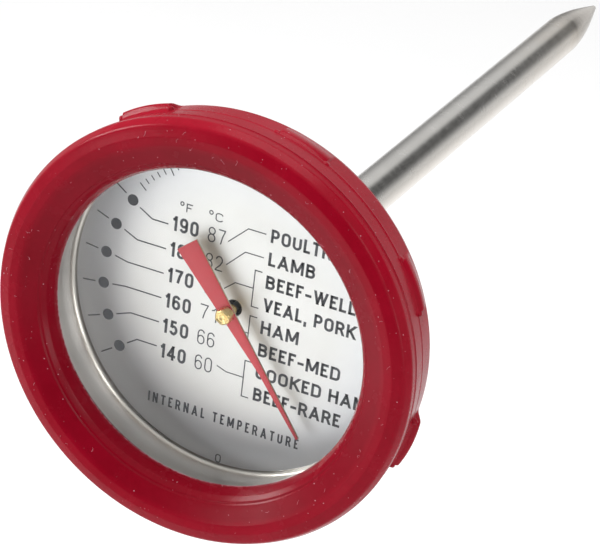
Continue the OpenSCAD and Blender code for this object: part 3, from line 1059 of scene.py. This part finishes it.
leaders = Ink()
FINE_W = 0.15
for path in (
    [(-1.82, 9.18), (0.86, 11.82), (3.43, 11.82)],
    [(-1.75, 5.82), (0.79, 8.43), (3.46, 8.43)],
    [(-1.68, 2.36), (-0.18, 3.68), (2.46, 3.68)],
    [(-1.6, -2.0), (-0.1, -2.96), (2.5, -2.96)],
    [(-1.54, -9.1), (-0.1, -9.6), (2.46, -9.6)],
    [(3.5, 6.32), (2.46, 6.32), (2.46, 1.04), (3.5, 1.04)],
    [(3.5, -0.36), (2.46, -0.36), (2.46, -5.6), (3.5, -5.6)],
    [(3.5, -7.04), (2.46, -7.04), (2.46, -12.4), (3.5, -12.4)],
):
    leaders.stroke(path, FINE_W)
TICKS = 31
TICK_OUT_R = 20.5
for k in range(TICKS):
    angle = math.radians(138 - 3.0 * k)
    c, s = math.cos(angle), math.sin(angle)
    tick_in_r = 19.7 if k % 5 else 19.2
    leaders.stroke([(tick_in_r * c, tick_in_r * s), (TICK_OUT_R * c, TICK_OUT_R * s)], FINE_W)
leaders.made("dial_leaders")

# ---------------------------------------------------------------- finishes of the CAD nodes that stay
for part in frame["record"]["subparts"]:
    node = frame["nodes"][part["node"]]
    node.data.materials.clear()
    node.data.materials.append(MATERIALS[part["material_slot"]])

# ---------------------------------------------------------------- camera, lights, floor
AIM = Vector((1.69, 9.96, -1.72)) * MM
DISTANCE = 382 * MM
AZIMUTH = math.radians(22.196)
ELEVATION = math.radians(26.215)
ROLL = math.radians(6.898)


def make_camera():
    back = Vector(
        (
            math.sin(AZIMUTH) * math.cos(ELEVATION),
            -math.cos(AZIMUTH) * math.cos(ELEVATION),
            math.sin(ELEVATION),
        )
    )
    level = (-back).cross(Vector((0, 0, 1))).normalized()
    upright = level.cross(-back)
    right = level * math.cos(ROLL) + upright * math.sin(ROLL)
    up = back.cross(right)
    camera = bpy.data.objects.new("photo_camera", bpy.data.cameras.new("photo_camera"))
    scene.collection.objects.link(camera)
    turn = Matrix((right, up, back)).transposed().to_4x4()
    camera.matrix_world = Matrix.Translation(AIM + back * DISTANCE) @ turn
    camera.data.sensor_width = 36
    camera.data.lens = 167.9
    camera.data.clip_start = 0.02
    camera.data.clip_end = 60
    return camera


scene.camera = make_camera()


def soft_light(name, place, target, size, power, color=(1, 1, 1)):
    data = bpy.data.lights.new(name, "AREA")
    data.shape = "RECTANGLE"
    data.size = size[0]
    data.size_y = size[1]
    data.energy = power
    data.color = color
    light = bpy.data.objects.new(name, data)
    scene.collection.objects.link(light)
    light.location = place
    light.visible_camera = False
    light.rotation_mode = "QUATERNION"
    light.rotation_quaternion = (Vector(target) - Vector(place)).to_track_quat("-Z", "Y")
    return light


soft_light("left_box", (-1.2, -0.30, 0.65), (0, 0, 0), (0.5, 0.5), 19.0)
soft_light("top_box", (0.0, 0.4, 1.6), (0, 0.05, 0), (1.2, 1.2), 20.0)
soft_light("right_box", (1.5, -0.7, 1.1), (0, 0, 0), (0.7, 0.7), 8.0)
soft_light("left_card", (-0.72, -0.70, -0.74), (0, 0, 0), (0.7, 0.7), 2.2)
soft_light("front_strip", (-0.84, -1.23, -0.06), (0, 0, 0), (0.45, 0.16), 2.4)
soft_light("right_strip", (1.23, -0.66, 0.03), (0, 0, 0), (0.22, 0.5), 3.0)
pool = soft_light("front_pool", (-0.9, -1.5, 1.0), (-0.7, -1.6, -0.8), (0.8, 0.8), 5.0)
pool.visible_glossy = False


def make_world():
    """A white studio, dim in a band above the backdrop, behind the camera and up on the far right."""
    world = bpy.data.worlds.new("studio")
    world.use_nodes = True
    tree = world.node_tree
    tree.nodes.clear()
    out = tree.nodes.new("ShaderNodeOutputWorld")
    background = tree.nodes.new("ShaderNodeBackground")
    place = tree.nodes.new("ShaderNodeTexCoord")
    split = tree.nodes.new("ShaderNodeSeparateXYZ")
    tree.links.new(place.outputs["Generated"], split.inputs[0])

    def calc(operation, a, b=0.0):
        node = tree.nodes.new("ShaderNodeMath")
        node.operation = operation
        for socket, value in zip(node.inputs, (a, b)):
            if isinstance(value, bpy.types.NodeSocket):
                tree.links.new(value, socket)
            else:
                socket.default_value = value
        return node.outputs[0]

    def eased(value, low, high, at_low, at_high):
        node = tree.nodes.new("ShaderNodeMapRange")
        node.interpolation_type = "SMOOTHSTEP"
        tree.links.new(value, node.inputs["Value"])
        node.inputs["From Min"].default_value = low
        node.inputs["From Max"].default_value = high
        node.inputs["To Min"].default_value = at_low
        node.inputs["To Max"].default_value = at_high
        return node.outputs[0]

    across = split.outputs[0]
    back = split.outputs[1]
    up = split.outputs[2]
    low = eased(up, 0.24, 0.35, 1.0, 0.0)
    top = eased(up, 0.48, 0.58, 0.0, 1.0)
    band = eased(across, -0.30, 0.05, BAND_LEFT_LEVEL, BAND_LEVEL)
    middle = calc("MULTIPLY", band, calc("SUBTRACT", 1.0, calc("ADD", low, top)))
    over = calc("MULTIPLY", top, eased(up, 0.55, 0.9, SHOULDER_LEVEL, TOP_LEVEL))
    ahead = calc("ADD", calc("ADD", calc("MULTIPLY", low, BACKDROP_LEVEL), middle), over)
    # behind the object: radians round the Y axis, from straight up, positive to the left
    turn = calc("ARCTAN2", calc("MULTIPLY", across, -1.0), up)
    beside = eased(turn, -2.0, -0.87, FLOOR_SIDE_LEVEL, FLAG_LEVEL)
    upper = eased(turn, -0.42, 0.07, 0.0, UPPER_LEVEL)
    leftward = eased(turn, 0.44, 1.57, 0.0, LEFT_DROP)
    rear = calc("ADD", beside, calc("SUBTRACT", upper, leftward))
    reach = calc("MULTIPLY", eased(back, 0.45, 0.70, 0.0, 1.0), eased(back, 0.93, 0.985, 1.0, 0.0))
    kept = calc("MULTIPLY", ahead, calc("SUBTRACT", 1.0, reach))
    behind = calc("ADD", kept, calc("MULTIPLY", rear, reach))
    dim = eased(back, -0.97, -0.78, 1.0 - FRONT_LEVEL, 0.0)
    level = calc("MULTIPLY", behind, calc("SUBTRACT", 1.0, dim))
    tree.links.new(level, background.inputs["Strength"])
    background.inputs["Color"].default_value = rgb(1.0, 1.0, 1.0)
    tree.links.new(background.outputs[0], out.inputs[0])
    scene.world = world


TOP_LEVEL = 1.1
SHOULDER_LEVEL = 0.75
BAND_LEVEL = 0.06
BAND_LEFT_LEVEL = 0.5
BACKDROP_LEVEL = 1.0
# levels of the surroundings behind the object, which the stem mirrors
FLOOR_SIDE_LEVEL = 0.95
FLAG_LEVEL = 0.08
UPPER_LEVEL = 0.62
LEFT_DROP = 0.42
FRONT_LEVEL = 0.1
make_world()


FLOOR_DROP = 0.8
FLOOR_FRONT = 2.4


def make_floor():
    bm = bmesh.new()
    bmesh.ops.create_grid(bm, x_segments=8, y_segments=8, size=5.0)
    mesh = bpy.data.meshes.new("floor")
    bm.to_mesh(mesh)
    bm.free()
    floor = bpy.data.objects.new("floor", mesh)
    scene.collection.objects.link(floor)
    floor.location = (0, 5.0 - FLOOR_FRONT, -FLOOR_DROP)
    n = Nodes("floor_paper")
    cloud = n.noise(400.0, 2.0)
    color = n.mix(n.ramp(cloud, 0.3, 0.7), rgb(0.965, 0.965, 0.965), rgb(0.985, 0.985, 0.985))
    n.surface(color, 0.9, 0.0)
    mesh.materials.append(n.material)


make_floor()
scene.view_settings.view_transform = "Standard"
scene.view_settings.look = "None"
